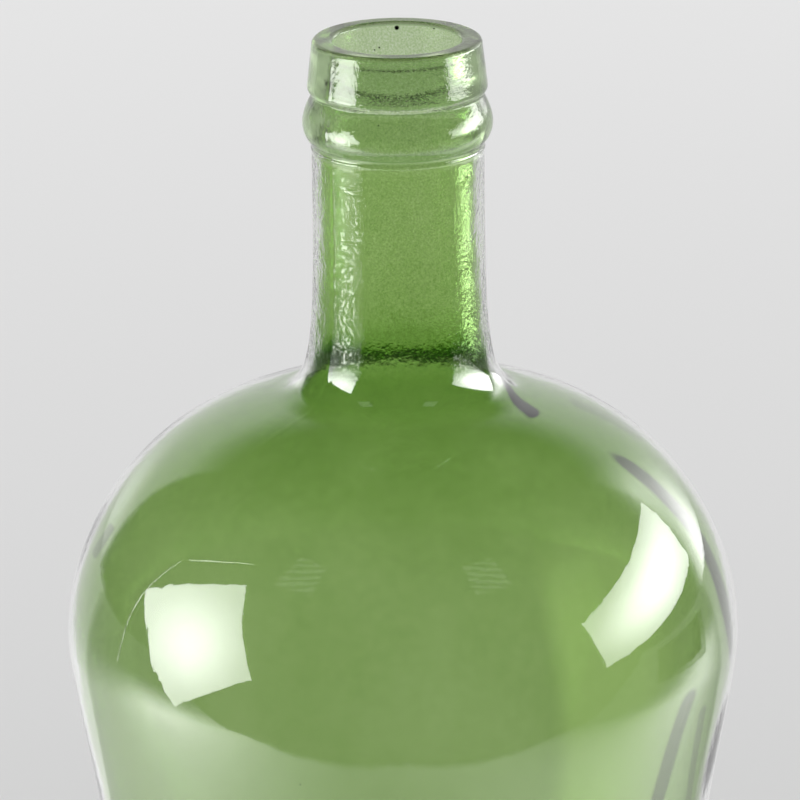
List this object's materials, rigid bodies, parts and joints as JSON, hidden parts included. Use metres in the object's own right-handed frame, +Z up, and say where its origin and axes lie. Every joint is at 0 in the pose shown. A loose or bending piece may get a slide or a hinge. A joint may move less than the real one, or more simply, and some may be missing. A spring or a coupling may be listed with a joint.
{
  "type": "glass carboy",
  "caption": "Bell-shaped green glass carboy with a straight neck, a beaded collar and an open mouth for a cork or bung; it holds fermenting wine or beer.",
  "frame": {"origin": "centre of the flat ring that the carboy stands on", "axes": "+Z up along the vessel's axis of revolution, through the middle of the mouth; the solid is round, so +X and +Y are free"},
  "size_m": [0.202, 0.202, 0.342],
  "materials": {
    "green_glass": "clear glossy bottle glass, leaf green, with a fire-polished outside and a slightly rippled inside"
  },
  "bodies": {
    "root": {"glass_vessel": "green_glass"}
  },
  "joints": []
}
